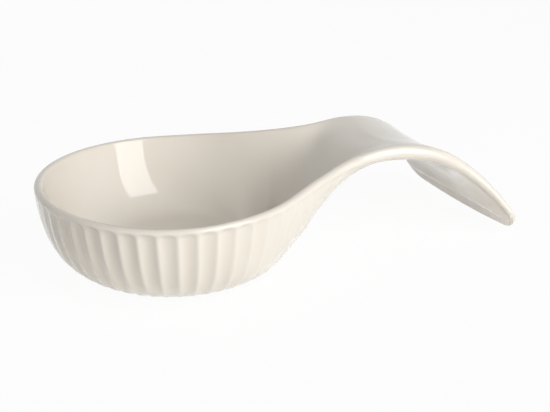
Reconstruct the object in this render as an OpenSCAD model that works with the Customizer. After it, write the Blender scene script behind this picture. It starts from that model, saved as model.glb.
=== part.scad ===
// Ceramic spoon rest: a round fluted bowl whose lip runs on into an arched handle
// with a flared end. One fired clay body carries a thin coat of glaze, which stops
// short of the bare foot that it stands on. The origin is on the table under the middle
// of the whole length, +X runs out along the handle and +Z is up. The sizes are over
// the glaze, and are measured from the middle of the foot.

/* [Bowl] */
// Width of the bowl over its rounded lip
bowl_w = 124; // [110:1:140]
// Distance from the foot's centre to the nose, the lip's edge opposite the handle
nose_reach = 61.2; // [56:0.2:66]
// Distance that the bowl's widest place lies back from the foot's centre
bowl_set_back = 3.8; // [0:0.2:8]
// Height of the lip's top at the bowl's widest place
lip_h = 39; // [34:0.5:44]
// Height of the lip's top at the nose
nose_h = 40.6; // [36:0.2:46]
// Thickness of the bowl's wall at its rounded lip
lip_t = 3.8; // [2.8:0.1:5]
// Lean of the bowl's wall just under the lip, in degrees from upright
wall_lean = 5; // [2:1:14]
// Height of the bowl's inner floor above the table
floor_h = 5.4; // [4.6:0.1:7]
// Diameter of the flat part of the bowl's inner floor
floor_d = 62; // [50:1:70]

/* [Foot] */
// Diameter of the foot
foot_d = 83; // [78:1:88]
// Width of the bare ring that touches the table
foot_ring_w = 5; // [3:0.5:8]
// Depth of the recess inside that ring
recess_depth = 1.2; // [0.8:0.1:1.6]
// Slope of the outer wall where it meets the foot, in degrees
foot_slope = 24; // [18:1:36]

/* [Handle] */
// Distance from the foot's centre to the end of the handle
end_reach = 158; // [152:0.5:170]
// Width of the handle at its waist, over its rounded edges
waist_w = 59.6; // [54:0.2:66]
// Height of the handle's top at the crest, along its edges
crest_h = 48.4; // [46:0.2:56]
// Thickness of the handle at the crest
handle_t = 7.2; // [5.6:0.1:8]
// Width of the flared end, over its rounded edges
end_w = 93; // [78:1:100]
// Thickness of the handle's end
end_t = 3.2; // [2.4:0.1:4]
// Clear height under the handle's end
end_clear = 0.6; // [0.4:0.1:4]
// Radius of the end's corners
end_corner_r = 10; // [6:0.5:14]
// Rise of the end edge's gentle bow
end_bow = 1; // [0.4:0.1:2]
// Depth of the handle's trough below its edges, at the crest
trough_depth = 2.4; // [1:0.1:3.5]

/* [Flutes] */
// Flutes that would go all the way round the bowl; those at the neck are left out
flutes_round = 51; // [40:1:56]
// Depth of a flute below the ridges beside it
flute_depth = 0.8; // [0.4:0.1:1.2]
// Height of the plain band between the lip's rounding and the flutes
lip_band_h = 0.8; // [0.4:0.1:4]
// Height over which a flute comes in to its full depth
flute_rise_h = 3; // [2:0.2:6]

/* [Glaze] */
// Thickness of the fired glaze
glaze_t = 0.4; // [0.3:0.05:0.6]
// Height of the bare clay left above the table
bare_h = 1.5; // [1:0.1:3]
// Gap between the base's glaze and the recess's wall
base_glaze_gap = 0.4; // [0.2:0.1:1]

/* [Hidden] */

// Colours
clay_colour = "#d8cbb6";
glaze_colour = "#fbf5ea";

// Overrun of every cut
over = 1;

// Columns of the surface in each flute, along the handle, round a corner and along half the end
flute_steps = 3;
handle_steps = 22;
corner_steps = 5;
edge_steps = 4;
// Share of the whole round that is fluted on each side, from the nose to the neck
fluted_share = 0.374;
flutes_a_side = floor(flutes_round * fluted_share);
flute_turn = 360 / flutes_round;
flute_end = flutes_a_side * flute_steps;
handle_end = flute_end + handle_steps;
corner_end = handle_end + corner_steps;
half = corner_end + edge_steps;
around = 2 * half;

// Radii and middle line of the bowl's lip
lip_r = lip_t / 2;
edge_r = handle_t / 2;
end_r = end_t / 2;
foot_r = foot_d / 2;
floor_r = floor_d / 2;
recess_r = foot_r - foot_ring_w;
bowl_half = bowl_w / 2 - lip_r;
nose_half = nose_reach - bowl_set_back - lip_r;
mid_x = -bowl_set_back;
mid_z = lip_h - lip_r;
nose_z = nose_h - lip_r;
crest_z = crest_h - edge_r;
end_z = end_clear + end_r;
end_x = end_reach - end_r;
waist_half = waist_w / 2 - edge_r;
end_half = end_w / 2 - end_r;

// Shares along the lip's middle line, from the bowl's widest place to the handle's end:
// place, bowl width kept, flare gained, rise to the crest, drop from the crest,
// growth of the edge to the handle's thickness, and thinning to the end's thickness
lip_shares = [
    [0.000, 1.000, 0.00, 0.00, 0.000, 0.00, 0.00],
    [0.175, 0.825, 0.00, 0.05, 0.000, 0.04, 0.00],
    [0.336, 0.370, 0.00, 0.41, 0.000, 0.10, 0.00],
    [0.489, 0.030, 0.00, 0.80, 0.000, 0.40, 0.00],
    [0.625, 0.000, 0.00, 1.00, 0.000, 1.00, 0.00],
    [0.749, 0.000, 0.16, 1.00, 0.076, 1.00, 0.14],
    [0.849, 0.000, 0.24, 1.00, 0.285, 1.00, 0.35],
    [0.917, 0.000, 0.55, 1.00, 0.515, 1.00, 0.60],
    [0.960, 0.000, 1.00, 1.00, 0.747, 1.00, 0.85],
    [1.000, 0.000, 1.30, 1.00, 1.000, 1.00, 1.00],
];
last = len(lip_shares) - 1;
corner_share = lip_shares[last - 1][0];

// Shares of the keel under the neck and of the ramp in it, from the foot's or the
// floor's end to the crest: place and height
keel_shares = [[0, 0], [0.10, 0.12], [0.22, 0.31], [0.38, 0.55], [0.60, 0.80], [1, 1]];
ramp_shares = [[0, 0], [0.15, 0.10], [0.32, 0.33], [0.52, 0.62], [0.75, 0.90], [1, 1]];
crest_share = 0.625;

// Pull of the walls' curves at the lip and at the foot, floor or middle line
outer_pull_shares = [0.43, 0.38];
inner_pull_shares = [0.40, 0.42];

// Rows of the surface: down the outer wall, over the lip and down the inner wall
outer_row_shares = [1, 0.86, 0.70, 0.54, 0.38, 0.24, 0.13, 0.05, 0];
inner_row_shares = [0, 0.16, 0.36, 0.58, 0.80, 1];
lip_rows = 4;

// Smooth value of one column of a table of shares at a place
function row_at(t, x, i = 0) = i >= len(t) - 2 || x < t[i + 1][0] ? i : row_at(t, x, i + 1);
function rise_at(t, c, i) =
    let (a = max(i - 1, 0), b = min(i + 1, len(t) - 1))
    i == 0 ? 0 : (t[b][c] - t[a][c]) / (t[b][0] - t[a][0]);
function smooth_at(t, c, x) =
    let (i = row_at(t, x), w = t[i + 1][0] - t[i][0], s = (x - t[i][0]) / w)
    let (m0 = rise_at(t, c, i) * w, m1 = rise_at(t, c, i + 1) * w)
    (2 * s ^ 3 - 3 * s ^ 2 + 1) * t[i][c] + (s ^ 3 - 2 * s ^ 2 + s) * m0
    + (3 * s ^ 2 - 2 * s ^ 3) * t[i + 1][c] + (s ^ 3 - s ^ 2) * m1;

// The lip's middle line
function place(x) = (x - mid_x) / (end_x - mid_x);
function lip_share(c, x) = smooth_at(lip_shares, c, max(place(x), 0));
function half_w(x) =
    waist_half + (bowl_half - waist_half) * lip_share(1, x) + (end_half - waist_half) * lip_share(2, x);
function lip_z(x) = x < mid_x
    ? mid_z + (nose_z - mid_z) * ((mid_x - x) / nose_half) ^ 2
    : mid_z + (crest_z - mid_z) * lip_share(3, x) - (crest_z - end_z) * lip_share(4, x);
function round_r(x) = lip_r + (edge_r - lip_r) * lip_share(5, x) + (end_r - edge_r) * lip_share(6, x);

// Place where the lip lies in a direction from the bowl's middle, between the sides and the neck
halvings = 24;
function x_towards(a, low, high, n) =
    let (x = (low + high) / 2)
    n == 0 ? x
    : (x - mid_x) * sin(a) + half_w(x) * cos(a) > 0 ? x_towards(a, low, x, n - 1)
    : x_towards(a, x, high, n - 1);
neck_turn = flute_turn * flutes_a_side;
neck_x = x_towards(neck_turn, mid_x, mid_x + bowl_w, halvings);
corner_x = mid_x + corner_share * (end_x - mid_x);
corner_y = half_w(corner_x);
edge_x = end_x - end_bow;

// Columns stand wider apart than evenly at the handle's start, and closer at its end
first_spread = 1.35;
function crowd(p) = first_spread * p - (first_spread - 1) * p ^ 2;
function side_turn(j) = flute_turn * j / flute_steps;
function lip_xy(j) =
    j <= flute_end ? let (a = side_turn(j))
        a <= 90
            ? let (t = atan2(nose_half * sin(a), bowl_half * cos(a)))
                [mid_x - nose_half * cos(t), bowl_half * sin(t)]
            : let (x = x_towards(a, mid_x, mid_x + bowl_w, halvings)) [x, half_w(x)]
    : j <= handle_end ? let (x = neck_x + (corner_x - neck_x) * crowd((j - flute_end) / handle_steps))
        [x, half_w(x)]
    : j <= corner_end ? let (a = 90 * (j - handle_end) / corner_steps)
        [corner_x + (edge_x - corner_x) * sin(a), corner_y - end_corner_r * (1 - cos(a))]
    : let (s = 1 - (j - corner_end) / edge_steps)
        [edge_x + end_bow * (1 - s ^ 2), (corner_y - end_corner_r) * s];
lip = [for (j = [0:half]) let (p = lip_xy(j)) [p.x, p.y, lip_z(p.x)]];
function lip_at(j) = j < 0 ? [lip[-j].x, -lip[-j].y, lip[-j].z]
    : j > half ? [lip[2 * half - j].x, -lip[2 * half - j].y, lip[2 * half - j].z]
    : lip[j];

function unit(v) = v / norm(v);
function level(v) = unit([v.x, v.y, 0]);
// Part of a vector that lies in the plane with this normal
function in_plane(v, n) = v - (v * n) * n;
function slope_normal(rise) = unit([-rise, 0, 1]);
function lip_rise(x) = (lip_z(x + over / 4) - lip_z(x - over / 4)) / (over / 2);

// Middle line under and over the neck and the handle
crest_x = mid_x + crest_share * (end_x - mid_x);
spine_end_x = end_x - end_bow - end_t;
function sheet_z(x) = lip_z(x) - trough_depth * (1 - lip_share(6, x));
keel_top = sheet_z(crest_x) - edge_r;
ramp_top = sheet_z(crest_x) + edge_r;
function keel_z(x) = x < crest_x
    ? keel_top * smooth_at(keel_shares, 1, max((x - foot_r) / (crest_x - foot_r), 0))
    : sheet_z(x) - round_r(x) * norm([1, lip_rise(x)]);
function ramp_z(x) = x < crest_x
    ? floor_h + (ramp_top - floor_h) * smooth_at(ramp_shares, 1, max((x - floor_r) / (crest_x - floor_r), 0))
    : sheet_z(x) + round_r(x) * norm([1, lip_rise(x)]);
function spine_x(j, start) = j <= handle_end
    ? start + (corner_x - start) * (lip[j].x - neck_x) / (corner_x - neck_x)
    : corner_x + (spine_end_x - corner_x) * (j - handle_end) / (half - handle_end);
// Direction of a column's end from the foot's centre: straight below its flute, until the
// last columns gather in to meet on the middle line
gather = 10;
function radial_turn(a) = a - asin(bowl_set_back * sin(a) / foot_r);
function foot_turn(j) =
    radial_turn(side_turn(j)) + (180 - radial_turn(neck_turn)) * (j / flute_end) ^ gather;

// Place and outward normal on the foot or keel, and on the floor or ramp
function root(j) = j <= flute_end
    ? let (a = 180 - foot_turn(j))
        [[foot_r * cos(a), foot_r * sin(a), 0], [sin(foot_slope) * cos(a), sin(foot_slope) * sin(a), -cos(foot_slope)]]
    : let (x = spine_x(j, foot_r), n = slope_normal((keel_z(x + over / 4) - keel_z(x - over / 4)) / (over / 2)))
        [[x, 0, keel_z(x)], -n];
function bed(j) = j <= flute_end
    ? let (a = 180 - foot_turn(j)) [[floor_r * cos(a), floor_r * sin(a), floor_h], [0, 0, 1]]
    : let (x = spine_x(j, floor_r), n = slope_normal((ramp_z(x + over / 4) - ramp_z(x - over / 4)) / (over / 2)))
        [[x, 0, ramp_z(x)], n];

function curve(p, s) =
    p[0] * (1 - s) ^ 3 + p[1] * 3 * s * (1 - s) ^ 2 + p[2] * 3 * s ^ 2 * (1 - s) + p[3] * s ^ 3;
// Control points of a wall from the lip to its end, for a skin laid on by the thickness t
function wall(start, start_n, way, end, end_n, pulls, t) =
    let (d = norm(end - start), back = unit(in_plane(start - end, end_n)))
    [start + start_n * t, start + start_n * t + way * d * pulls[0],
     end + end_n * t + back * d * pulls[1], end + end_n * t];

// Depth of the flutes, as a share, across a flute and down the wall
function across(j) = let (f = (j / flute_steps) % 1) 4 * f * (1 - f);
function down(s) = min(max((lip_h * s - lip_band_h) / flute_rise_h, 0), 1);
function fade(j) = min(1, (flute_end - j) / flute_steps / 2);
function flute(j, s) = j >= flute_end ? 0 : flute_depth * across(j) * down(s) * fade(j);

// Dip of the handle's faces towards its middle, where they leave the rounded edge
edge_dip = 6;

// One column of the skin: up the outer wall, over the lip and down to the floor
function column(j, t) =
    let (c = lip[j], x = c.x, r = round_r(x), along = unit(lip_at(j + 1) - lip_at(j - 1)))
    let (n = unit(in_plane(slope_normal(lip_rise(x)), along)), out = cross(n, along))
    let (turn = 270 - wall_lean - (90 - edge_dip - wall_lean) * lip_share(5, x))
    let (way = out * cos(turn) + n * sin(turn), side = out * cos(turn + 90) + n * sin(turn + 90))
    let (rt = root(j), bd = bed(j))
    let (o = wall(c + side * r, side, way, rt[0], rt[1], outer_pull_shares, t))
    let (i = wall(c - side * r, -side, way, bd[0], bd[1], inner_pull_shares, t))
    concat(
        [for (s = outer_row_shares) curve(o, s) - level(side) * flute(j, s)],
        [for (k = [1:lip_rows - 1]) let (a = turn - 270 + 180 * k / lip_rows)
            c + (out * cos(a) + n * sin(a)) * (r + t)],
        [for (s = inner_row_shares) curve(i, s)]
    );
rows = len(outer_row_shares) + lip_rows - 1 + len(inner_row_shares);

function mirror_y(p) = [p.x, -p.y, p.z];
// All the skin's points, column by column round the outline
function skin_points(t) =
    let (cols = [for (j = [0:half]) column(j, t)])
    [for (c = [0:around - 1]) for (k = [0:rows - 1]) c <= half ? cols[c][k] : mirror_y(cols[around - c][k])];
// Both sides share the points on the keel and on the ramp
function id(c, k) =
    let (w = c % around)
    (k == 0 || k == rows - 1) && w > half && around - w >= flute_end ? (around - w) * rows + k : w * rows + k;
function skin_faces() = [for (c = [0:around - 1]) for (k = [0:rows - 2])
    let (p = id(c, k), q = id(c + 1, k), r = id(c + 1, k + 1), s = id(c, k + 1))
    for (f = [[p, q, r], [p, r, s]]) if (f[0] != f[1] && f[1] != f[2] && f[0] != f[2]) f];
function ring(k) = [for (c = [0:around - 1]) if (c <= flute_end || c > around - flute_end) c * rows + k];
function reversed(f) = [for (k = [len(f) - 1:-1:0]) f[k]];

// The clay is one skin, closed by its floor and, below the table, by a base that is cut off
module clay_form() {
    top = skin_points(-glaze_t);
    base = ring(0);
    n = len(base);
    m = len(top);
    low = [for (b = base) [top[b].x, top[b].y, -over]];
    sides = [for (k = [0:n - 1]) let (q = (k + 1) % n)
        for (f = [[base[k], m + k, m + q], [base[k], m + q, base[q]]]) f];
    polyhedron(
        concat(top, low),
        concat(skin_faces(), [ring(rows - 1)], sides, [reversed([for (k = [0:n - 1]) m + k])]),
        convexity = 6
    );
}
// The glaze is two skins, joined round the foot, where the bare clay's band is cut off
module glaze_form() {
    outer = skin_points(0);
    inner = skin_points(-glaze_t);
    m = len(outer);
    base = ring(0);
    n = len(base);
    skin = concat(skin_faces(), [ring(rows - 1)]);
    rim = [for (k = [0:n - 1]) let (q = (k + 1) % n)
        for (f = [[base[k], base[k] + m, base[q] + m], [base[k], base[q] + m, base[q]]]) f];
    polyhedron(
        concat(outer, inner),
        concat(skin, [for (f = skin) [for (v = reversed(f)) v + m]], rim),
        convexity = 10
    );
}
// Everything below the table, and the recess inside the foot's ring
module foot_cut() {
    rotate_extrude($fn = 96)
    polygon([
        [0, -2 * over], [foot_r + over, -2 * over], [foot_r + over, 0], [recess_r, 0],
        [recess_r - recess_depth, recess_depth], [0, recess_depth],
    ]);
}

// Moves the foot back, so that the origin lies under the middle of the length
module centred() {
    translate([(nose_reach - end_reach) / 2, 0, 0])
    children();
}

module stoneware_body() {
    color(clay_colour)
    centred()
    difference() {
        clay_form();
        foot_cut();
    }
}
module glaze_coat() {
    color(glaze_colour)
    centred()
    difference() {
        glaze_form();
        translate([0, 0, -over])
        cylinder(r = foot_r + lip_h, h = over + bare_h, $fn = 96);
    }
}
module base_glaze() {
    color(glaze_colour)
    centred()
    translate([0, 0, recess_depth - glaze_t])
    cylinder(r = recess_r - recess_depth - base_glaze_gap, h = glaze_t, $fn = 96);
}

stoneware_body();
glaze_coat();
base_glaze();
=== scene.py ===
# %% [markdown]
# # A spoon rest in fired clay under a cream glaze
# The object is a round, shallow bowl for the spoon's head, with a neck that climbs out of
# its side, arches over and comes down again as a broad, flared handle. It is one piece of
# pale clay, and a cream glaze covers all of it apart from a thin line round the foot. The
# outside of the bowl is fluted: shallow hollows stand side by side, like the petals of a
# pie dish. This script builds the glaze, the clay under it and the disc of glaze inside
# the foot, gives them their finishes, and lights them as in a small white studio.

# %% Load the frame
import bmesh
import bpy
import math
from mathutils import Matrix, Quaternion, Vector


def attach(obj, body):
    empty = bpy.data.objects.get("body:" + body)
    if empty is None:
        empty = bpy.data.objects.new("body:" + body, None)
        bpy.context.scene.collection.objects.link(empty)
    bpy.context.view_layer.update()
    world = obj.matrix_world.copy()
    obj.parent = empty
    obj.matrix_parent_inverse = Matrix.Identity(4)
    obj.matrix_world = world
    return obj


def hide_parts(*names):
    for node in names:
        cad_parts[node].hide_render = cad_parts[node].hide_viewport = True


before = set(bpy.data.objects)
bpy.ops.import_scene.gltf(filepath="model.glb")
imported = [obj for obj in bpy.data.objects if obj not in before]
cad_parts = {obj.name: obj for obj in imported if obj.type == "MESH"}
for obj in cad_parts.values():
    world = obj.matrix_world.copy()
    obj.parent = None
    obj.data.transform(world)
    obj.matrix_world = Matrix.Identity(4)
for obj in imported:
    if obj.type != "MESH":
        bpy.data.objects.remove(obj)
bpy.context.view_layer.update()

# %% [markdown]
# ## The camera
# The picture looks down on the bowl's front from the left, at a little over twenty
# degrees. Once the camera stands right, every shape can be judged by its outline, so it
# comes first. The aim is set as two points, the eye and what it looks at, because that is
# easier to reason about than three angles.

# %% The camera
EYE = Vector((-0.12386, -0.29317, 0.14687))
LOOKED_AT = Vector((-0.00183, 0.0, 0.01603))
FILM_WIDTH, LENS, NEAREST = 36.0, 46.93, 0.01

camera_data = bpy.data.cameras.new("camera")
camera_data.sensor_width = FILM_WIDTH
camera_data.lens = LENS
camera_data.clip_start = NEAREST
camera = bpy.data.objects.new("camera", camera_data)
camera.location = EYE
camera.rotation_euler = (LOOKED_AT - EYE).to_track_quat("-Z", "Y").to_euler()
bpy.context.scene.collection.objects.link(camera)
bpy.context.scene.camera = camera
print("camera distance:", round((LOOKED_AT - EYE).length, 4))

# %% [markdown]
# ## The measures
# These are the sizes of the solids, in millimetres from the middle of the foot, so that
# the fine surface here lies where the solid does. Only the flutes are a little deeper. The
# lip's middle line carries the whole shape: its width, its height and the thickness of the
# edge are given as shares at a few places between the bowl's widest point and the handle's
# end, and a smooth curve runs through them.

# %% Sizes of the bowl, the neck and the handle
MM = 0.001
BOWL_W, NOSE_REACH, BOWL_SET_BACK = 124.0, 61.2, 3.8
LIP_H, NOSE_H, LIP_T, WALL_LEAN = 39.0, 40.6, 3.8, 5.0
FLOOR_H, FLOOR_R, FOOT_R, RING_W = 5.4, 31.0, 41.5, 5.0
RECESS_DEPTH, FOOT_SLOPE = 1.2, 24.0
END_REACH, WAIST_W, CREST_H, HANDLE_T = 158.0, 59.6, 48.4, 7.2
END_W, END_T, END_CLEAR, CORNER_R, END_BOW = 93.0, 3.2, 0.6, 10.0, 1.0
TROUGH_DEPTH, GLAZE_T, BARE_H, BASE_GAP = 2.4, 0.4, 1.5, 0.4
FLUTES_ROUND, FLUTES_A_SIDE, FLUTE_DEPTH = 51, 19, 1.15
SHIFT_X = (NOSE_REACH - END_REACH) / 2

# Each row is a place on the way from the bowl's middle to the handle's end, and then what
# is left of the bowl's width, the flare, the rise to the crest, the fall behind it, and how
# far the edge has become the handle's edge and the end's edge.
WIDTH, FLARE, RISE, FALL, HANDLE_EDGE, END_EDGE = range(1, 7)
LIP_SHARES = [
    (0.000, 1.000, 0.00, 0.00, 0.000, 0.00, 0.00),
    (0.175, 0.825, 0.00, 0.05, 0.000, 0.04, 0.00),
    (0.336, 0.370, 0.00, 0.41, 0.000, 0.10, 0.00),
    (0.489, 0.030, 0.00, 0.80, 0.000, 0.40, 0.00),
    (0.625, 0.000, 0.00, 1.00, 0.000, 1.00, 0.00),
    (0.749, 0.000, 0.16, 1.00, 0.076, 1.00, 0.14),
    (0.849, 0.000, 0.24, 1.00, 0.285, 1.00, 0.35),
    (0.917, 0.000, 0.55, 1.00, 0.515, 1.00, 0.60),
    (0.960, 0.000, 1.00, 1.00, 0.747, 1.00, 0.85),
    (1.000, 0.000, 1.30, 1.00, 1.000, 1.00, 1.00),
]
CLIMB = 1
KEEL_SHARES = [(0, 0), (0.10, 0.12), (0.22, 0.31), (0.38, 0.55), (0.60, 0.80), (1, 1)]
RAMP_SHARES = [(0, 0), (0.15, 0.10), (0.32, 0.33), (0.52, 0.62), (0.75, 0.90), (1, 1)]
CREST_SHARE, CORNER_SHARE = 0.625, 0.960
print("bowl", BOWL_W, "mm across, whole piece", NOSE_REACH + END_REACH, "mm long")

# %% Places that follow from the sizes
lip_r, edge_r, end_r = LIP_T / 2, HANDLE_T / 2, END_T / 2
bowl_half = BOWL_W / 2 - lip_r
nose_half = NOSE_REACH - BOWL_SET_BACK - lip_r
mid_x, end_x = -BOWL_SET_BACK, END_REACH - end_r
mid_z, nose_z = LIP_H - lip_r, NOSE_H - lip_r
crest_z, end_z = CREST_H - edge_r, END_CLEAR + end_r
waist_half, end_half = WAIST_W / 2 - edge_r, END_W / 2 - end_r
recess_r = FOOT_R - RING_W
print("heights of the lip, the nose, the crest and the end:", mid_z, nose_z, crest_z, end_z)

# %% A smooth value from a table of shares
def rise_at(table, c, i):
    """Slope of column c at row i."""
    if i == 0:
        return 0.0
    a, b = table[i - 1], table[min(i + 1, len(table) - 1)]
    return (b[c] - a[c]) / (b[0] - a[0])


def smooth_at(table, c, x):
    """Value of column c at x, on a curve that passes through every row."""
    i = 0
    while i < len(table) - 2 and x >= table[i + 1][0]:
        i += 1
    low, high = table[i], table[i + 1]
    w = high[0] - low[0]
    s = (x - low[0]) / w
    value = (2 * s**3 - 3 * s**2 + 1) * low[c] + (3 * s**2 - 2 * s**3) * high[c]
    value += (s**3 - 2 * s**2 + s) * rise_at(table, c, i) * w
    return value + (s**3 - s**2) * rise_at(table, c, i + 1) * w


print("rise of the ramp halfway:", round(smooth_at(RAMP_SHARES, CLIMB, 0.5), 3))

# %% [markdown]
# ## The lip's middle line
# Seen from above, the lip is an oval round the bowl that pinches in to the neck and flares
# again to the handle's square end, whose corners are rounded. One number, the station,
# runs along it from the bowl's nose to the middle of the handle's end. The other side is
# its mirror image. By hand such a line would be a curve object with a few handles. Written
# as functions of a few sizes, it gives a point anywhere on the lip, and the surface can
# have as many columns as its flutes need.

# %% Stations along the lip
STEPS_A_FLUTE, HANDLE_STEPS, CORNER_STEPS, EDGE_STEPS = 3, 22, 5, 4
FLUTE_TURN = 360 / FLUTES_ROUND
flute_end = FLUTES_A_SIDE * STEPS_A_FLUTE
handle_end = flute_end + HANDLE_STEPS
corner_end = handle_end + CORNER_STEPS
half = corner_end + EDGE_STEPS
print("stations of one side:", flute_end, handle_end, corner_end, half)

# %% Width, height and roundness of the lip
SOFTENING = 0.04
SOFTENING_TAPS = ((-1.0, 0.1), (-0.6, 0.2), (-0.2, 0.2), (0.2, 0.2), (0.6, 0.2), (1.0, 0.1))


def lip_share(c, x):
    """A share along the lip, averaged over a short reach so that its bends come in softly."""
    place = max((x - mid_x) / (end_x - mid_x), 0)
    reach = min(SOFTENING, place, max(1 - place, 0))
    return sum(w * smooth_at(LIP_SHARES, c, place + t * reach) for t, w in SOFTENING_TAPS)


def half_w(x):
    """Half the lip's width, between its middle lines."""
    flare = (end_half - waist_half) * lip_share(FLARE, x)
    return waist_half + (bowl_half - waist_half) * lip_share(WIDTH, x) + flare


def lip_z(x):
    """Height of the lip's middle line."""
    if x < mid_x:
        return mid_z + (nose_z - mid_z) * ((mid_x - x) / nose_half) ** 2
    rise = (crest_z - mid_z) * lip_share(RISE, x)
    return mid_z + rise - (crest_z - end_z) * lip_share(FALL, x)


def round_r(x):
    """Radius of the lip's round edge."""
    radius = lip_r + (edge_r - lip_r) * lip_share(HANDLE_EDGE, x)
    return radius + (end_r - edge_r) * lip_share(END_EDGE, x)


print("crest of the lip at", round(lip_z(mid_x + CREST_SHARE * (end_x - mid_x)), 2), "mm")

# %% Points of the lip
PLACE_HALVINGS = 24
HANDLE_EASE = 0.35


def x_towards(turn):
    """Place where the lip lies in a direction from the bowl's middle, past its widest point."""
    low, high, a = mid_x, mid_x + BOWL_W, math.radians(turn)
    for _ in range(PLACE_HALVINGS):
        x = (low + high) / 2
        beyond = (x - mid_x) * math.sin(a) + half_w(x) * math.cos(a) > 0
        low, high = (low, x) if beyond else (x, high)
    return (low + high) / 2


NECK_TURN = FLUTE_TURN * FLUTES_A_SIDE
neck_x = x_towards(NECK_TURN)
corner_x = mid_x + CORNER_SHARE * (end_x - mid_x)
corner_y = half_w(corner_x)
edge_x = end_x - END_BOW


def lip_point(j):
    """Point of the lip's middle line at a station, mirrored past both ends."""
    if j < 0 or j > half:
        p = lip_point(-j if j < 0 else 2 * half - j)
        return Vector((p.x, -p.y, p.z))
    if j <= flute_end:
        turn = FLUTE_TURN * j / STEPS_A_FLUTE
        if turn <= 90:
            a = math.radians(turn)
            t = math.atan2(nose_half * math.sin(a), bowl_half * math.cos(a))
            x, y = mid_x - nose_half * math.cos(t), bowl_half * math.sin(t)
        else:
            x = x_towards(turn)
            y = half_w(x)
    elif j <= handle_end:
        p = (j - flute_end) / HANDLE_STEPS
        x = neck_x + (corner_x - neck_x) * ((1 + HANDLE_EASE) * p - HANDLE_EASE * p * p)
        y = half_w(x)
    elif j <= corner_end:
        a = math.radians(90 * (j - handle_end) / CORNER_STEPS)
        x = corner_x + (edge_x - corner_x) * math.sin(a)
        y = corner_y - CORNER_R * (1 - math.cos(a))
    else:
        s = 1 - (j - corner_end) / EDGE_STEPS
        x, y = edge_x + END_BOW * (1 - s * s), (corner_y - CORNER_R) * s
    return Vector((x, y, lip_z(x)))


print("nose at", lip_point(0)[:], "end at", lip_point(half)[:])

# %% [markdown]
# ## Where the walls begin and end
# On the outside every wall ends on the foot's circle or, past the neck, on a keel line
# that climbs under the handle. On the inside it ends on the bowl's floor or on the ramp
# that climbs into the handle's shallow trough. At each end the wall leaves at right angles
# to a known direction, and that makes the surface run smoothly into its neighbour. Two
# surfaces that only met there would show a crease in the gloss, however fine they were.

# %% Helpers for slopes
SLOPE_STEP = 0.25
crest_x = mid_x + CREST_SHARE * (end_x - mid_x)


def smooth_step(x, start, end):
    """A share that grows softly from 0 at the start to 1 at the end."""
    t = min(max((x - start) / (end - start), 0), 1)
    return t * t * (3 - 2 * t)


def slope(f, x):
    return (f(x + SLOPE_STEP) - f(x - SLOPE_STEP)) / (2 * SLOPE_STEP)


print("slope of the lip halfway up to the crest:", round(slope(lip_z, crest_x / 2), 3))

# %% The keel under the handle and the ramp on it
KEEL_START = 4.0


def sheet_z(x):
    """Height of the handle's middle, which lies a trough's depth under its lips."""
    return lip_z(x) - TROUGH_DEPTH * (1 - lip_share(END_EDGE, x))


def keel_z(x):
    """Height of the keel, which leaves the foot at the slope that the bowl's wall has there."""
    if x < crest_x:
        share = smooth_at(KEEL_SHARES, CLIMB, max((x - FOOT_R) / (crest_x - FOOT_R), 0))
        run = min(max(x - FOOT_R, -SLOPE_STEP), KEEL_START)
        first_rise = math.tan(math.radians(FOOT_SLOPE)) * run * (1 - run / KEEL_START) ** 2
        return (sheet_z(crest_x) - edge_r) * share + first_rise
    return sheet_z(x) - round_r(x) * math.hypot(1, slope(lip_z, x))


def ramp_z(x):
    """Height of the ramp that climbs from the bowl's floor into the handle's trough."""
    if x < crest_x:
        share = smooth_at(RAMP_SHARES, CLIMB, max((x - FLOOR_R) / (crest_x - FLOOR_R), 0))
        return FLOOR_H + (sheet_z(crest_x) + edge_r - FLOOR_H) * share
    return sheet_z(x) + round_r(x) * math.hypot(1, slope(lip_z, x))


print("crest at x", round(crest_x, 1), "keel there", round(keel_z(crest_x), 1))

# %% Where a column stands on the foot or the keel, and where it ends inside
GATHERING = (0.66, 1.0)
SLOW_START = 5
spine_end_x = end_x - END_BOW - END_T


def spine_x(j, start):
    """Place on the keel or the ramp that belongs to a station of the handle."""
    if j <= handle_end:
        share = (lip_point(j).x - neck_x) / (corner_x - neck_x)
        return start + (corner_x - start) * share * (1 - (1 - share) ** SLOW_START)
    return corner_x + (spine_end_x - corner_x) * (j - handle_end) / (half - handle_end)


def radial_turn(turn):
    """Direction from the foot's centre of the point that lies so far round the bowl's middle."""
    a = math.radians(turn)
    return a - math.asin(BOWL_SET_BACK * math.sin(a) / FOOT_R)


def foot_angle(j):
    """Direction of a column's foot: under its flute, until the last ones gather in the neck."""
    radial = radial_turn(FLUTE_TURN * j / STEPS_A_FLUTE)
    return (math.pi - radial) * (1 - smooth_step(j / flute_end, *GATHERING))


def root(j):
    """Point and outward direction on the foot's circle or on the keel."""
    if j <= flute_end:
        a, tilt = foot_angle(j), math.radians(FOOT_SLOPE)
        away = Vector((math.cos(a), math.sin(a), 0))
        return away * FOOT_R, away * math.sin(tilt) - Vector((0, 0, math.cos(tilt)))
    x = spine_x(j, FOOT_R)
    return Vector((x, 0, keel_z(x))), Vector((slope(keel_z, x), 0, -1)).normalized()


def bed(j):
    """Point and upward direction on the floor's circle or on the ramp."""
    if j <= flute_end:
        a = foot_angle(j)
        return Vector((FLOOR_R * math.cos(a), FLOOR_R * math.sin(a), FLOOR_H)), Vector((0, 0, 1))
    x = spine_x(j, FLOOR_R)
    return Vector((x, 0, ramp_z(x))), Vector((-slope(ramp_z, x), 0, 1)).normalized()


print("the foot's first point and direction:", root(0))

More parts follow.
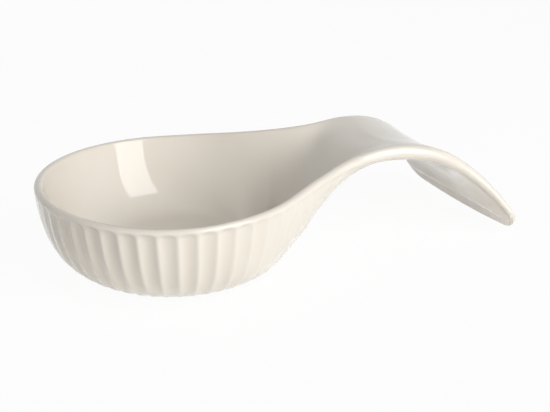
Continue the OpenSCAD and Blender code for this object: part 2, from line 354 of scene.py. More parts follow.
# %% [markdown]
# ## The flutes
# Each flute is a hollow as a round tool would scoop it: deepest in the middle, with a
# crisp ridge on each side where it meets its neighbour. At the top the tool lifts out, and
# that draws a small arch under the plain band of the lip. The glaze fills the corners a
# little, so the ridges are rounded over a few tenths of a millimetre. The photograph shows
# the flutes best at the front. They are shallower at the nose, towards the neck and at the
# foot, and they die out where the wall runs into the keel. Real hollows in the mesh catch
# light and shadow from every side, which a bump in the material would not do.

# %% The shape of one flute
RIDGE_SOFTNESS = (-0.05, -0.025, 0.0, 0.025, 0.05)
ARCH_TOP, ARCH_RISE, ARCH_SOFTNESS = -0.9, 2.7, 0.12


def hollow(turn):
    """Share of a flute's depth in a direction round the bowl's middle, with softened ridges."""
    total = 0.0
    for shift in RIDGE_SOFTNESS:
        f = (turn / FLUTE_TURN + shift) % 1
        total += 4 * f * (1 - f)
    return total / len(RIDGE_SOFTNESS)


def arched(turn, down):
    """Share of the depth, with the arch at the top, at a distance under the lip's edge."""
    lift = max((ARCH_TOP + ARCH_RISE - down) / ARCH_RISE, 0) ** 2
    cut = hollow(turn) - lift
    return (cut + math.hypot(cut, ARCH_SOFTNESS)) / 2 * min(down - ARCH_TOP, 1)


print("flutes", round(FLUTE_TURN, 2), "degrees apart")
print("depth at the middle:", FLUTE_DEPTH * hollow(FLUTE_TURN / 2), "mm")

# %% Where the flutes are shallower
NOSE_FADE, SIDE_FADE, FOOT_FADE = (8.0, 32.0), (90.0, 126.0), (0.0, 6.0)
NOSE_SHARE, SIDE_SHARE, FOOT_SHARE = 0.2, 0.35, 0.3
NECK_FADE, ROOT_FADE = (54.0, 76.0), (1.0, 10.0)
KEEL_REACH, KEEL_FADE = (34.0, 46.0), (3.0, 17.0)


def eased(p, turn):
    """What is left of the depth at a point: less at the nose, the side, the foot and the keel."""
    share = NOSE_SHARE + (1 - NOSE_SHARE) * smooth_step(turn, *NOSE_FADE)
    share *= 1 - (1 - SIDE_SHARE) * smooth_step(turn, *SIDE_FADE)
    share *= FOOT_SHARE + (1 - FOOT_SHARE) * smooth_step(p.z, *FOOT_FADE)
    share *= 1 - smooth_step(p.x, *NECK_FADE)
    share *= smooth_step((p - Vector((FOOT_R, 0, 0))).length, *ROOT_FADE)
    beside_keel = 1 - smooth_step(abs(p.y), *KEEL_FADE)
    return share * (1 - smooth_step(p.x, *KEEL_REACH) * beside_keel)


def flute(p, down):
    """Share of the flute's depth at a point and at its distance under the lip's edge."""
    if p.x > NECK_FADE[1] or down <= ARCH_TOP:
        return 0.0
    turn = math.degrees(math.atan2(abs(p.y), mid_x - p.x))
    return arched(turn, down) * eased(p, turn)


print("share at the nose:", NOSE_SHARE, "and beside the neck:", SIDE_SHARE)

# %% [markdown]
# ## One column of the surface
# A column goes up the outer wall, over the rounded lip and down the inner wall, which leans
# out a little at the lip, as a bowl's does. Each wall is one bent curve with four control
# points. On the handle, a wall's first pull points straight across to the keel, because
# columns that kept the lip's own direction would fold over each other where the lip turns.
# The same functions give the glaze's skin and, moved in by the glaze's thickness, the
# clay's skin. With each point go two numbers for the finish: how deep it lies in a flute,
# and how near it is to the edge.

# %% The bent curve of a wall
OUTER_PULLS, INNER_PULLS = (0.43, 0.38), (0.40, 0.42)
CROSSING, END_PULL, CORNER_EASE = 8, 7.0, 2
HEIGHT_HALVINGS = 30


def bent(p, s):
    """Point of a bent curve at a share of the way."""
    r = 1 - s
    return p[0] * r**3 + p[1] * (3 * s * r * r) + p[2] * (3 * s * s * r) + p[3] * s**3


def first_pull(j, start, side, way, end):
    """Direction and reach of a wall's first pull: across the handle, and short at its end."""
    reach = (end - start).length
    if j <= flute_end:
        return way, reach
    across = end - start
    across = (across - side * across.dot(side)).normalized()
    share = smooth_step(j, flute_end, flute_end + CROSSING)
    share *= 1 - smooth_step(j, handle_end, corner_end)
    short = smooth_step(j, handle_end, handle_end + CORNER_EASE)
    return way.lerp(across, share).normalized(), reach + (min(END_PULL, reach) - reach) * short


def wall(j, start, side, way, end, end_side, pulls, t):
    """Four control points of a wall, moved out by t."""
    way, reach = first_pull(j, start, side, way, end)
    back = start - end
    back = (back - end_side * back.dot(end_side)).normalized()
    a, b = start + side * t, end + end_side * t
    return [a, a + way * reach * pulls[0], b + back * (end - start).length * pulls[1], b]


def lowest_share(curve, height):
    """How far down the curve goes before it reaches a height."""
    if curve[3].z >= height:
        return 1.0
    low, high = 0.0, 1.0
    for _ in range(HEIGHT_HALVINGS):
        middle = (low + high) / 2
        low, high = (middle, high) if bent(curve, middle).z > height else (low, middle)
    return low


print("pulls of the outer and the inner wall:", OUTER_PULLS, INNER_PULLS)

# %% Points of the outer wall, pressed in by the flutes
OUTER_ROWS = [
    1, 0.98, 0.95, 0.91, 0.86, 0.80, 0.74, 0.68, 0.62, 0.56, 0.50, 0.44, 0.38, 0.33, 0.285, 0.245,
    0.215, 0.19, 0.165, 0.145, 0.125, 0.105, 0.088, 0.072, 0.056, 0.042, 0.028, 0.014, 0,
]
NECK_STATIONS, TURNING, SLOWEST = 3, 2, 0.05
EDGE_FADE = 4.0


def outer_points(j, curve, level, height):
    """Points from a height up to the lip. A flute presses them in level or, at the keel, up."""
    reach = lowest_share(curve, height)
    under = root(j)[1] if j > flute_end else level
    turning = TURNING / max(smooth_step(j, flute_end, flute_end + NECK_STATIONS), SLOWEST)
    points = []
    for s in OUTER_ROWS:
        p = bent(curve, s * reach)
        down = (p - curve[0]).length
        depth = flute(p, down)
        outwards = level.lerp(under, s**turning).normalized()
        points.append((p - outwards * (FLUTE_DEPTH * depth), depth, max(1 - down / EDGE_FADE, 0)))
    return points


print("rows of the outer wall:", len(OUTER_ROWS))

# %% Points of a column
LIP_ROWS, INNER_STEPS = 14, 22
EDGE_DIP, INNER_LEAN = 6, 8
NEARBY = 0.2
QUARTER = math.pi / 2


def cross_section(j):
    """The lip's middle at a station, with the directions outwards and upwards."""
    middle = lip_point(j)
    along = (lip_point(j + NEARBY) - lip_point(j - NEARBY)).normalized()
    up = Vector((-slope(lip_z, middle.x), 0, 1)).normalized()
    up = (up - along * up.dot(along)).normalized()
    return middle, up.cross(along), up


def column(j, t, height):
    """Points of one column, moved out by t, with the two numbers for the finish."""
    middle, out, up = cross_section(j)
    r, share = round_r(middle.x), lip_share(HANDLE_EDGE, middle.x)
    first = -math.radians(WALL_LEAN + (90 - EDGE_DIP - WALL_LEAN) * share)
    sweep = math.pi - math.radians(INNER_LEAN) * (1 - share)

    def aimed(angle):
        """Direction in the cross-section: 0 is outwards and a quarter turn is upwards."""
        return out * math.cos(angle) + up * math.sin(angle)

    side, inward = aimed(first), aimed(first + sweep)
    down, down_in = aimed(first - QUARTER), aimed(first + sweep + QUARTER)
    outer = wall(j, middle + side * r, side, down, *root(j), OUTER_PULLS, t)
    inner = wall(j, middle + inward * r, inward, down_in, *bed(j), INNER_PULLS, t)
    level = Vector((side.x, side.y, 0)).normalized()
    points = outer_points(j, outer, level, height)
    for k in range(1, LIP_ROWS):
        turned = sweep * k / LIP_ROWS
        p = middle + aimed(first + turned) * (r + t)
        depth = flute(p, -r * turned)
        points.append((p - level * (FLUTE_DEPTH * depth), depth, 1.0))
    for k in range(INNER_STEPS + 1):
        p = bent(inner, k / INNER_STEPS)
        points.append((p, 0.0, max(1 - (p - inner[0]).length / EDGE_FADE, 0)))
    return points


print("points in a column:", len(column(0, 0, BARE_H)))

# %% [markdown]
# ## Drawing the skin, ring by ring
# By hand this would start as a circle round the bowl that is extruded again and again,
# each new ring being moved to its place. The code does just that: the circle has one point
# for each column, the number of its column stays with every point when it is extruded, and
# the ring then goes where the columns say. The two sides of the handle meet on the keel
# and on the ramp, where their points are merged.

# %% Where the columns stand
FLUTE_COLUMNS, HANDLE_COLUMNS, CORNER_COLUMNS, EDGE_COLUMNS = 12, 80, 10, 8
WIDENING = 1.3


def stations():
    """Stations of one side, close together on the flutes and wider on the handle."""
    places = [k * STEPS_A_FLUTE / FLUTE_COLUMNS for k in range(FLUTES_A_SIDE * FLUTE_COLUMNS)]
    for k in range(HANDLE_COLUMNS):
        places.append(flute_end + HANDLE_STEPS * (k / HANDLE_COLUMNS) ** WIDENING)
    places += [handle_end + k * CORNER_STEPS / CORNER_COLUMNS for k in range(CORNER_COLUMNS)]
    places += [corner_end + k * EDGE_STEPS / EDGE_COLUMNS for k in range(EDGE_COLUMNS + 1)]
    return places


def in_row(p, side):
    """A point in the shared frame, in metres, on one side or mirrored."""
    return Vector(((p.x + SHIFT_X) * MM, side * p.y * MM, p.z * MM))


print("columns of one side:", len(stations()))

# %% Selecting points by a test
CLOSE = 0.01


def select_where(piece, test):
    """In edit mode, selects just the points that pass a test."""
    bpy.ops.mesh.select_all(action="DESELECT")
    bm = bmesh.from_edit_mesh(piece.data)
    for v in bm.verts:
        v.select = test(v)
    bm.select_flush(True)
    bmesh.update_edit_mesh(piece.data)
    return sum(v.select for v in bm.verts)


print("a height counts as met within", CLOSE, "mm")

# %% Rings of an extruded skin
SAME_POINT = 0.004


def draw_skin(name, t, height):
    """A skin of extruded rings, open at the floor and at the foot, left in edit mode."""
    one_side = [column(j, t, height) for j in stations()]
    columns = [[(in_row(p, 1), g, e) for p, g, e in c] for c in one_side]
    columns += [[(in_row(p, -1), g, e) for p, g, e in c] for c in one_side[-2:0:-1]]
    bpy.ops.object.select_all(action="DESELECT")
    bpy.ops.mesh.primitive_circle_add(
        vertices=len(columns), radius=FOOT_R * MM, location=(SHIFT_X * MM, 0, height * MM)
    )
    piece = bpy.context.object
    piece.name = piece.data.name = name
    bpy.ops.object.transform_apply(location=True, rotation=True, scale=True)
    bpy.ops.object.mode_set(mode="EDIT")
    bpy.ops.mesh.select_all(action="SELECT")
    bm = bmesh.from_edit_mesh(piece.data)
    number = bm.verts.layers.int.new("column")
    bm.verts.layers.float.new("groove")
    bm.verts.layers.float.new("edge")
    for k, v in enumerate(bm.verts):
        v[number] = k
    for row in range(len(columns[0])):
        if row:
            bpy.ops.mesh.extrude_region()
        bm = bmesh.from_edit_mesh(piece.data)
        number = bm.verts.layers.int["column"]
        groove, edge = bm.verts.layers.float["groove"], bm.verts.layers.float["edge"]
        for v in bm.verts:
            if v.select:
                v.co, v[groove], v[edge] = columns[v[number]][row]
        bmesh.update_edit_mesh(piece.data)
    bpy.ops.mesh.select_all(action="SELECT")
    bpy.ops.mesh.remove_doubles(threshold=SAME_POINT * MM)
    return piece


print("points are merged within", SAME_POINT, "mm")

# %% The floor of the bowl
FLOOR_RINGS = (0.88, 0.86, 0.82, 0.76, 0.66, 0.5, 0.3)
FLOOR_SINK = 0.05


def close_floor(piece, t):
    """Closes the bowl's floor with rings that shrink to a point, and sinks it by a hair."""
    level = (FLOOR_H + t) * MM
    middle = (SHIFT_X * MM, 0, level)
    found = select_where(piece, lambda v: v.is_boundary and abs(v.co.z - level) < CLOSE * MM)
    for k, share in enumerate(FLOOR_RINGS):
        bpy.ops.mesh.extrude_region()
        bpy.ops.transform.resize(value=(share, share, 1), center_override=middle)
        sink = FLOOR_SINK * MM * math.sin(math.pi * (k + 1) / (len(FLOOR_RINGS) + 1))
        bpy.ops.transform.translate(value=(0, 0, -sink))
    bpy.ops.mesh.extrude_region()
    bpy.ops.mesh.merge(type="CENTER")
    print(piece.name, "floor closed from a ring of", found, "points")


print("rings on the floor:", len(FLOOR_RINGS))

# %% [markdown]
# ## The glaze coat
# On the real piece the glaze is a glassy skin about as thick as a playing card. It covers
# the clay but for the wiped line at the foot, where it stops in a soft, rounded edge. It
# could be the outside of the clay with a shiny finish, but then it would have no edge of
# its own there, so it is a shell: the skin gets its thickness inwards with Solidify, and
# its lower edge is then rounded with a bevel.

# %% The glaze coat
SKIN_INSET, EDGE_ROUND, EDGE_SEGMENTS = 0.03, 0.15, 3
glaze = draw_skin("glaze_coat_fine", -SKIN_INSET, BARE_H)
close_floor(glaze, -SKIN_INSET)
bpy.ops.mesh.select_all(action="SELECT")
bpy.ops.mesh.normals_make_consistent(inside=False)
rim = {v.index for v in bmesh.from_edit_mesh(glaze.data).verts if v.is_boundary}
bpy.ops.object.mode_set(mode="OBJECT")
shell = glaze.modifiers.new("thickness", "SOLIDIFY")
shell.thickness = (GLAZE_T - SKIN_INSET) * MM
shell.offset = -1
bpy.ops.object.modifier_apply(modifier=shell.name)
bpy.ops.object.mode_set(mode="EDIT")
rounded = select_where(glaze, lambda v: v.index in rim)
bpy.ops.mesh.bevel(offset=EDGE_ROUND * MM, segments=EDGE_SEGMENTS, affect="EDGES")
bpy.ops.object.mode_set(mode="OBJECT")
bpy.ops.object.shade_smooth()
print("glaze faces:", len(glaze.data.polygons), "edge rounded at", rounded, "points")

# %% [markdown]
# ## The clay body
# The clay is the same form, smaller by the glaze's thickness. Nearly all of it is hidden,
# but its foot shows when the piece is turned over: a flat ring that stands on the table,
# with corners rubbed soft by a sponge, round a shallow recess. It could be cut from the
# clay with a boolean, but that leaves ragged faces along the cut. So the ring is drawn as
# a potter turns it, by extruding the skin's lower edge down, inwards, up and to the middle.

# %% The clay body
clay = draw_skin("clay_body_fine", -GLAZE_T, 0.0)
close_floor(clay, -GLAZE_T)
centre = Vector((SHIFT_X * MM, 0, 0))
RING_STEPS = [
    # how far inwards from the skin's edge or, where that is None, the radius; then the
    # height; the corners are rubbed off over a tenth or two of a millimetre
    (0.00, None, 0.14),
    (0.06, None, 0.05),
    (0.18, None, 0.00),
    (None, recess_r + 0.20, 0.00),
    (None, recess_r + 0.05, 0.05),
    (None, recess_r - 0.10, 0.16),
    (None, recess_r - RECESS_DEPTH + 0.12, RECESS_DEPTH - 0.10),
    (None, recess_r - RECESS_DEPTH - 0.15, RECESS_DEPTH),
    (None, recess_r * 0.5, RECESS_DEPTH),
]
found = select_where(clay, lambda v: v.is_boundary)
for inwards, radius, height in RING_STEPS:
    bpy.ops.mesh.extrude_region()
    bm = bmesh.from_edit_mesh(clay.data)
    for v in bm.verts:
        if v.select:
            away = Vector((v.co.x, v.co.y, 0)) - centre
            length = away.length - inwards * MM if radius is None else radius * MM
            v.co = centre + away.normalized() * length + Vector((0, 0, height * MM))
    bmesh.update_edit_mesh(clay.data)
bpy.ops.mesh.extrude_region()
bpy.ops.mesh.merge(type="CENTER")
bpy.ops.mesh.select_all(action="SELECT")
bpy.ops.mesh.normals_make_consistent(inside=False)
bpy.ops.object.mode_set(mode="OBJECT")
bpy.ops.object.shade_smooth()
print("clay faces:", len(clay.data.polygons), "foot ring from", found, "points")

# %% [markdown]
# ## The glaze inside the foot
# The potter also glazes the recess, so that the bottom doesn't soak up water. It is a thin
# disc with a rounded rim that stops just short of the recess's wall. A flat cylinder is
# enough to start from. Its lower rim is bevelled, and the underside is inset in rings
# that sag by a hair, as a pool of glaze does.

# %% The disc of glaze
DISC_SIDES, DISC_ROUND, DISC_SEGMENTS = 192, 0.3, 4
DISC_RINGS, DISC_SAG = (4, 8, 10, 8), 0.02
FACING_DOWN, LARGE_FACE, CREASE_ANGLE = -0.99, 100.0, 50
disc_r = recess_r - RECESS_DEPTH - BASE_GAP
bpy.ops.object.select_all(action="DESELECT")
bpy.ops.mesh.primitive_cylinder_add(
    vertices=DISC_SIDES,
    radius=disc_r * MM,
    depth=GLAZE_T * MM,
    location=(SHIFT_X * MM, 0, (RECESS_DEPTH - GLAZE_T / 2) * MM),
)
disc = bpy.context.object
disc.name = disc.data.name = "base_glaze_fine"
bpy.ops.object.transform_apply(location=True, rotation=True, scale=True)
bpy.ops.object.mode_set(mode="EDIT")
low = (RECESS_DEPTH - GLAZE_T) * MM
select_where(disc, lambda v: abs(v.co.z - low) < CLOSE * MM)
bpy.ops.mesh.bevel(offset=DISC_ROUND * MM, segments=DISC_SEGMENTS, affect="EDGES")
bpy.ops.mesh.select_mode(type="FACE")
bpy.ops.mesh.select_all(action="DESELECT")
bm = bmesh.from_edit_mesh(disc.data)
for face in bm.faces:
    large = face.calc_area() > LARGE_FACE * MM * MM
    face.select = large and face.normal.z < FACING_DOWN
bmesh.update_edit_mesh(disc.data)
for width in DISC_RINGS:
    bpy.ops.mesh.inset(thickness=width * MM, depth=0)
    bpy.ops.transform.translate(value=(0, 0, -DISC_SAG * MM))
bpy.ops.mesh.select_mode(type="VERT")
bpy.ops.object.mode_set(mode="OBJECT")
bpy.ops.object.shade_smooth_by_angle(angle=math.radians(CREASE_ANGLE))
print("disc faces:", len(disc.data.polygons))

# %% [markdown]
# ## What rides on what
# Nothing moves on this piece, so everything rides on its one body, and each fine mesh
# stands for the solid that it was drawn from. The solids could be dressed instead, but
# their faces are too few for a gloss that shows every corner. They are hidden here and
# stay what other things touch.

# %% Ride on the body and hide the solid that each fine mesh stands for
for piece, node, finish in (
    (glaze, "glaze_coat", "cream_glaze"),
    (clay, "stoneware_body", "fired_clay"),
    (disc, "base_glaze", "cream_glaze"),
):
    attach(piece, "root")
    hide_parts(node)
    print(piece.name, "stands for", node, [round(x / MM, 2) for x in piece.dimensions])

# %% [markdown]
# ## Effects that the finishes share
# Two effects come back in every finish. Fired colour is never quite even: it drifts in
# soft clouds between a lighter and a darker tone. And no fired surface is dead flat:
# glaze has a long, faint ripple and clay a short, rough grain. Both could be painted, but
# noise needs no image and shows no seam. Each effect is one node group with named inputs,
# built once and given its own values in each material. They read object coordinates, so
# the pattern stays on the piece from every side.

# %% Helpers for nodes
def add_node(tree, kind, **settings):
    node = tree.nodes.new(kind)
    for key, value in settings.items():
        setattr(node, key, value)
    return node


def join(tree, start, end):
    tree.links.new(start, end)


def new_group(name, inputs, outputs):
    """A shader node group with named sockets: name, kind and, for inputs, a value."""
    group = bpy.data.node_groups.new(name, "ShaderNodeTree")
    for title, kind, value in inputs:
        socket = group.interface.new_socket(title, in_out="INPUT", socket_type=kind)
        socket.default_value = value
    for title, kind in outputs:
        group.interface.new_socket(title, in_out="OUTPUT", socket_type=kind)
    return group, add_node(group, "NodeGroupInput"), add_node(group, "NodeGroupOutput")


def place_group(tree, group, **values):
    node = add_node(tree, "ShaderNodeGroup", node_tree=group)
    for title, value in values.items():
        node.inputs[title.replace("_", " ")].default_value = value
    return node


NUMBER, COLOUR = "NodeSocketFloat", "NodeSocketColor"
print("sockets for a number and a colour:", NUMBER, COLOUR)

# %% Clouds of colour
CLOUD_LOW, CLOUD_HIGH = 0.35, 0.68
clouds, g_in, g_out = new_group(
    "fired_clouds",
    [
        ("Light", COLOUR, (1, 1, 1, 1)),
        ("Dark", COLOUR, (0.8, 0.8, 0.8, 1)),
        ("Scale", NUMBER, 40.0),
        ("Amount", NUMBER, 0.5),
    ],
    [("Colour", COLOUR), ("Mask", NUMBER)],
)
coords = add_node(clouds, "ShaderNodeTexCoord")
noise = add_node(clouds, "ShaderNodeTexNoise")
noise.inputs["Detail"].default_value = 4.0
noise.inputs["Roughness"].default_value = 0.55
spread = add_node(clouds, "ShaderNodeMapRange")
spread.inputs["From Min"].default_value = CLOUD_LOW
spread.inputs["From Max"].default_value = CLOUD_HIGH
blend = add_node(clouds, "ShaderNodeMix", data_type="RGBA")
join(clouds, coords.outputs["Object"], noise.inputs["Vector"])
join(clouds, g_in.outputs["Scale"], noise.inputs["Scale"])
join(clouds, noise.outputs["Fac"], spread.inputs["Value"])
join(clouds, g_in.outputs["Amount"], spread.inputs["To Max"])
join(clouds, spread.outputs["Result"], blend.inputs["Factor"])
join(clouds, g_in.outputs["Light"], blend.inputs["A"])
join(clouds, g_in.outputs["Dark"], blend.inputs["B"])
join(clouds, blend.outputs["Result"], g_out.inputs["Colour"])
join(clouds, spread.outputs["Result"], g_out.inputs["Mask"])
print("group:", clouds.name)

# %% Ripple and grain
relief, g_in, g_out = new_group(
    "fired_relief",
    [
        ("Ripple Scale", NUMBER, 150.0),
        ("Ripple", NUMBER, 1.0),
        ("Grain Scale", NUMBER, 2000.0),
        ("Grain", NUMBER, 0.1),
    ],
    [("Height", NUMBER)],
)
coords = add_node(relief, "ShaderNodeTexCoord")
ripple = add_node(relief, "ShaderNodeTexNoise")
ripple.inputs["Detail"].default_value = 1.0
grain = add_node(relief, "ShaderNodeTexNoise")
grain.inputs["Detail"].default_value = 3.0
long_part = add_node(relief, "ShaderNodeMath", operation="MULTIPLY")
short_part = add_node(relief, "ShaderNodeMath", operation="MULTIPLY_ADD")
join(relief, coords.outputs["Object"], ripple.inputs["Vector"])
join(relief, coords.outputs["Object"], grain.inputs["Vector"])
join(relief, g_in.outputs["Ripple Scale"], ripple.inputs["Scale"])
join(relief, g_in.outputs["Grain Scale"], grain.inputs["Scale"])
join(relief, ripple.outputs["Fac"], long_part.inputs[0])
join(relief, g_in.outputs["Ripple"], long_part.inputs[1])
join(relief, grain.outputs["Fac"], short_part.inputs[0])
join(relief, g_in.outputs["Grain"], short_part.inputs[1])
join(relief, long_part.outputs["Value"], short_part.inputs[2])
join(relief, short_part.outputs["Value"], g_out.inputs["Height"])
print("group:", relief.name)

# %% [markdown]
# ## The cream glaze
# The glaze is a warm off-white gloss. Where it pools, in the flutes, it is thicker and a
# shade deeper; on the lip it runs thin and the clay warms it. The two numbers that were
# stored in the mesh drive those tints, because they know the form and a noise doesn't. The
# gloss itself changes by a hair from place to place, and a faint long ripple makes the
# reflections swim a little, as they do in real glaze.

# %% Helpers for a finish
def new_material(name):
    material = bpy.data.materials.new(name)
    material.use_nodes = True
    material.node_tree.nodes.clear()
    tree = material.node_tree
    shader = add_node(tree, "ShaderNodeBsdfPrincipled")
    end = add_node(tree, "ShaderNodeOutputMaterial")
    join(tree, shader.outputs["BSDF"], end.inputs["Surface"])
    return material, tree, shader


def tinted(tree, base, attribute, amount, tint):
    """Mixes in a tint where an attribute of the mesh is high."""
    reader = add_node(tree, "ShaderNodeAttribute", attribute_name=attribute)
    share = add_node(tree, "ShaderNodeMath", operation="MULTIPLY")
    share.inputs[1].default_value = amount
    mix = add_node(tree, "ShaderNodeMix", data_type="RGBA")
    mix.inputs["B"].default_value = tint
    join(tree, reader.outputs["Fac"], share.inputs[0])
    join(tree, share.outputs["Value"], mix.inputs["Factor"])
    join(tree, base, mix.inputs["A"])
    return mix.outputs["Result"]


def rough_and_bumpy(tree, shader, mask, low, high, height, distance):
    """Roughness from a mask, and a bump from a height."""
    gloss = add_node(tree, "ShaderNodeMapRange")
    gloss.inputs["To Min"].default_value = low
    gloss.inputs["To Max"].default_value = high
    join(tree, mask, gloss.inputs["Value"])
    join(tree, gloss.outputs["Result"], shader.inputs["Roughness"])
    bump = add_node(tree, "ShaderNodeBump")
    bump.inputs["Distance"].default_value = distance
    join(tree, height, bump.inputs["Height"])
    join(tree, bump.outputs["Normal"], shader.inputs["Normal"])


print("a finish ends in a Principled BSDF, with its tints and its relief before it")

# %% The cream glaze
CREAM = (0.86, 0.807, 0.725, 1)
CREAM_DEEP = (0.835, 0.775, 0.675, 1)
POOLED = (0.80, 0.735, 0.625, 1)
THIN = (0.835, 0.775, 0.685, 1)
TINT_AMOUNT, GLASSY, RIPPLE_HEIGHT = 0.5, 1.5, 0.03
GLOSS_LOW, GLOSS_HIGH = 0.015, 0.035

glaze_finish, tree, shader = new_material("cream_glaze_finish")
shader.inputs["IOR"].default_value = GLASSY
tone = place_group(tree, clouds, Light=CREAM, Dark=CREAM_DEEP, Scale=28.0, Amount=0.6)
colour = tinted(tree, tone.outputs["Colour"], "groove", TINT_AMOUNT, POOLED)
colour = tinted(tree, colour, "edge", TINT_AMOUNT, THIN)
join(tree, colour, shader.inputs["Base Color"])
gloss_mask = place_group(tree, clouds, Scale=90.0, Amount=1.0)
skin = place_group(tree, relief, Ripple_Scale=110.0, Ripple=1.0, Grain_Scale=900.0, Grain=0.06)
gloss = (gloss_mask.outputs["Mask"], GLOSS_LOW, GLOSS_HIGH)
rough_and_bumpy(tree, shader, *gloss, skin.outputs["Height"], RIPPLE_HEIGHT * MM)
glaze.data.materials.append(glaze_finish)
print("finish:", glaze_finish.name)

# %% [markdown]
# ## The bare clay
# Where the foot was wiped, the fired clay shows: matt, sandy and a little darker and
# greyer than the glaze. Fine grog, the crushed fired clay that potters mix in, gives it
# dark specks of a few tenths of a millimetre, and a rough grain under the finger. Scattered
# grains could be modelled, but at this size a pattern of cells does the same.

# %% The bare clay
CLAY = (0.69, 0.61, 0.49, 1)
CLAY_DARK = (0.60, 0.52, 0.40, 1)
GROG = (0.42, 0.34, 0.25, 1)
SPECKS_SCALE, SPECK_EDGE, SPECK_CORE = 1100.0, 0.22, 0.10
CLAY_SMOOTH, CLAY_ROUGH, GRIT_HEIGHT = 0.78, 0.92, 0.12

clay_finish, tree, shader = new_material("fired_clay_finish")
tone = place_group(tree, clouds, Light=CLAY, Dark=CLAY_DARK, Scale=70.0, Amount=0.8)
coords = add_node(tree, "ShaderNodeTexCoord")
specks = add_node(tree, "ShaderNodeTexVoronoi")
specks.inputs["Scale"].default_value = SPECKS_SCALE
near = add_node(tree, "ShaderNodeMapRange")
near.inputs["From Min"].default_value = SPECK_EDGE
near.inputs["From Max"].default_value = SPECK_CORE
speck_mix = add_node(tree, "ShaderNodeMix", data_type="RGBA")
speck_mix.inputs["B"].default_value = GROG
join(tree, coords.outputs["Object"], specks.inputs["Vector"])
join(tree, specks.outputs["Distance"], near.inputs["Value"])
join(tree, near.outputs["Result"], speck_mix.inputs["Factor"])
join(tree, tone.outputs["Colour"], speck_mix.inputs["A"])
join(tree, speck_mix.outputs["Result"], shader.inputs["Base Color"])
grit = place_group(tree, relief, Ripple_Scale=500.0, Ripple=0.5, Grain_Scale=3500.0, Grain=1.0)
gloss = (tone.outputs["Mask"], CLAY_SMOOTH, CLAY_ROUGH)
rough_and_bumpy(tree, shader, *gloss, grit.outputs["Height"], GRIT_HEIGHT * MM)
clay.data.materials.append(clay_finish)
print("finish:", clay_finish.name)

# %% [markdown]
# ## The finish inside the foot
# The disc is the same glaze, but poured and not dipped, so it pools more, its gloss is
# duller and its ripple stronger. It could share the coat's material. A small one of its
# own, from the same groups, lets the two differ.

# %% The glaze inside the foot
DISC_SMOOTH, DISC_ROUGH, DISC_RIPPLE = 0.12, 0.22, 0.08

base_finish, tree, shader = new_material("base_glaze_finish")
shader.inputs["IOR"].default_value = GLASSY
tone = place_group(tree, clouds, Light=CREAM, Dark=POOLED, Scale=45.0, Amount=0.7)
join(tree, tone.outputs["Colour"], shader.inputs["Base Color"])
skin = place_group(tree, relief, Ripple_Scale=160.0, Ripple=1.0, Grain_Scale=900.0, Grain=0.1)
gloss = (tone.outputs["Mask"], DISC_SMOOTH, DISC_ROUGH)
rough_and_bumpy(tree, shader, *gloss, skin.outputs["Height"], DISC_RIPPLE * MM)
disc.data.materials.append(base_finish)
print("finish:", base_finish.name)

# %% [markdown]
# ## The studio
# The piece stands on a white sweep of paper. The camera and the reflections see the paper
# as almost pure white, with just a breath of the piece's shadow on it, while the light that
# the paper throws back on the piece stays at its natural level. More light would make the
# paper white too, but it would burn out the pale glaze. Light Path tells the rays apart.

# %% Rays that see the white background
def background_rays(tree):
    """One for rays from the camera, from gloss and through glass, and otherwise nothing."""
    path = add_node(tree, "ShaderNodeLightPath")
    first = add_node(tree, "ShaderNodeMath", operation="MAXIMUM")
    second = add_node(tree, "ShaderNodeMath", operation="MAXIMUM")
    join(tree, path.outputs["Is Camera Ray"], first.inputs[0])
    join(tree, path.outputs["Is Glossy Ray"], first.inputs[1])
    join(tree, first.outputs["Value"], second.inputs[0])
    join(tree, path.outputs["Is Transmission Ray"], second.inputs[1])
    return second.outputs["Value"]


print("white background for camera, gloss and glass")

# %% The paper
PAPER_SIZE, PAPER_GLOW, PAPER_ROUGH = 30.0, 0.95, 0.9
PAPER_WHITE = (0.88, 0.88, 0.88, 1)

bpy.ops.object.select_all(action="DESELECT")
bpy.ops.mesh.primitive_plane_add(size=PAPER_SIZE, location=(0, 0, 0))
paper = bpy.context.object
paper.name = "paper_sweep"
paper_finish, tree, shader = new_material("white_paper")
shader.inputs["Base Color"].default_value = PAPER_WHITE
shader.inputs["Roughness"].default_value = PAPER_ROUGH
glow = add_node(tree, "ShaderNodeEmission")
glow_share = add_node(tree, "ShaderNodeMath", operation="MULTIPLY")
glow_share.inputs[1].default_value = PAPER_GLOW
mix = add_node(tree, "ShaderNodeMixShader")
end = next(n for n in tree.nodes if n.type == "OUTPUT_MATERIAL")
join(tree, background_rays(tree), glow_share.inputs[0])
join(tree, glow_share.outputs["Value"], mix.inputs[0])
join(tree, shader.outputs["BSDF"], mix.inputs[1])
join(tree, glow.outputs["Emission"], mix.inputs[2])
join(tree, mix.outputs["Shader"], end.inputs["Surface"])
paper.data.materials.append(paper_finish)
print("paper:", PAPER_SIZE, "m across")

# %% [markdown]
# ## The room
# A real studio isn't evenly white: its walls send back some light and its ceiling next to
# none. That is what shades the inside of the bowl towards its floor. The world plays the
# room here, with a brightness that falls with the height of the direction, and the rays
# that see the background get plain white instead.

# %% Walls, ceiling and white background
WALL_LEVEL, CEILING_LEVEL = 0.18, 0.03
WALL_TOP, CEILING_START = math.sin(math.radians(20)), math.sin(math.radians(50))

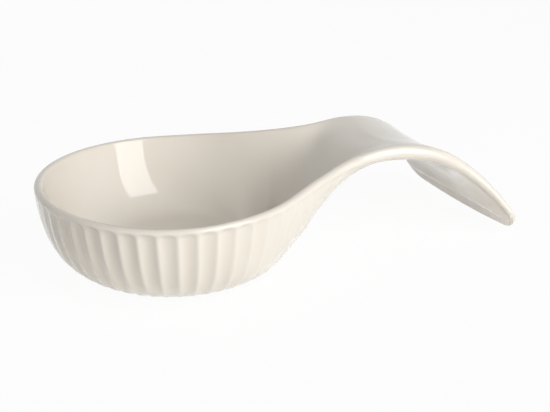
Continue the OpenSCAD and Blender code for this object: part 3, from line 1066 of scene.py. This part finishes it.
world = bpy.data.worlds.new("studio")
bpy.context.scene.world = world
world.use_nodes = True
tree = world.node_tree
tree.nodes.clear()
coords = add_node(tree, "ShaderNodeTexCoord")
parts = add_node(tree, "ShaderNodeSeparateXYZ")
room = add_node(tree, "ShaderNodeMapRange", interpolation_type="SMOOTHSTEP")
room.inputs["From Min"].default_value = WALL_TOP
room.inputs["From Max"].default_value = CEILING_START
room.inputs["To Min"].default_value = WALL_LEVEL
room.inputs["To Max"].default_value = CEILING_LEVEL
seen = add_node(tree, "ShaderNodeMapRange")
seen.inputs["To Max"].default_value = 1.0
sky = add_node(tree, "ShaderNodeBackground")
sky.inputs["Color"].default_value = (1, 1, 1, 1)
end = add_node(tree, "ShaderNodeOutputWorld")
join(tree, coords.outputs["Generated"], parts.inputs["Vector"])
join(tree, parts.outputs["Z"], room.inputs["Value"])
join(tree, room.outputs["Result"], seen.inputs["To Min"])
join(tree, background_rays(tree), seen.inputs["Value"])
join(tree, seen.outputs["Result"], sky.inputs["Strength"])
join(tree, sky.outputs["Background"], end.inputs["Surface"])
bpy.context.scene.view_settings.view_transform = "Standard"
print("walls and ceiling:", WALL_LEVEL, CEILING_LEVEL)

# %% [markdown]
# ## The lamps
# The main lamp is a tall softbox to the right, above and a little in front. It throws the
# left side of the bowl into soft shade, draws the flutes and leaves its own shape as a
# bright patch on the inner wall across from it. Two wide fills on the left, one in front
# and one behind, keep the shaded sides from going grey. A fill could be a white card, but
# the gloss would show it, so the fills are lamps that reflections don't see. Lamps are
# placed by the camera's own directions, to its right, towards it and up, because that is
# how a photographer thinks.

# %% Directions seen from the camera
towards = (EYE - LOOKED_AT).normalized()
to_right = Vector((0, 0, 1)).cross(towards).normalized()
flat_towards = Vector((towards.x, towards.y, 0)).normalized()
AIM = Vector((-0.02, 0.0, 0.02))


def add_lamp(name, right, front, up, width, height, power, turned=0):
    """A softbox whose middle lies so far to the right, to the front and up, in metres."""
    data = bpy.data.lights.new(name, "AREA")
    data.shape = "RECTANGLE"
    data.size, data.size_y, data.energy = width, height, power
    lamp = bpy.data.objects.new(name, data)
    lamp.location = AIM + to_right * right + flat_towards * front + Vector((0, 0, up))
    facing = (AIM - lamp.location).to_track_quat("-Z", "Y")
    lamp.rotation_euler = (facing @ Quaternion((0, 0, 1), math.radians(turned))).to_euler()
    bpy.context.scene.collection.objects.link(lamp)
    return lamp


print("the camera looks from", [round(x, 3) for x in towards])

# %% Lamps
SOFTBOX_PLACE, SOFTBOX_SIZE = (0.78, 0.68, 0.62), (0.72, 1.45)
SOFTBOX_POWER, SOFTBOX_TURN = 15.2, -6
FILL_UP, FILL_SIZE = 0.27, (2.0, 0.6)
FILLS = (
    # name, to the right, to the front, power
    ("left_fill", -0.87, 1.04, 3.2),
    ("back_fill", -0.95, -1.05, 6.0),
)
add_lamp("window_softbox", *SOFTBOX_PLACE, *SOFTBOX_SIZE, SOFTBOX_POWER, turned=SOFTBOX_TURN)
for name, right, front, power in FILLS:
    fill = add_lamp(name, right, front, FILL_UP, *FILL_SIZE, power)
    fill.visible_glossy = False
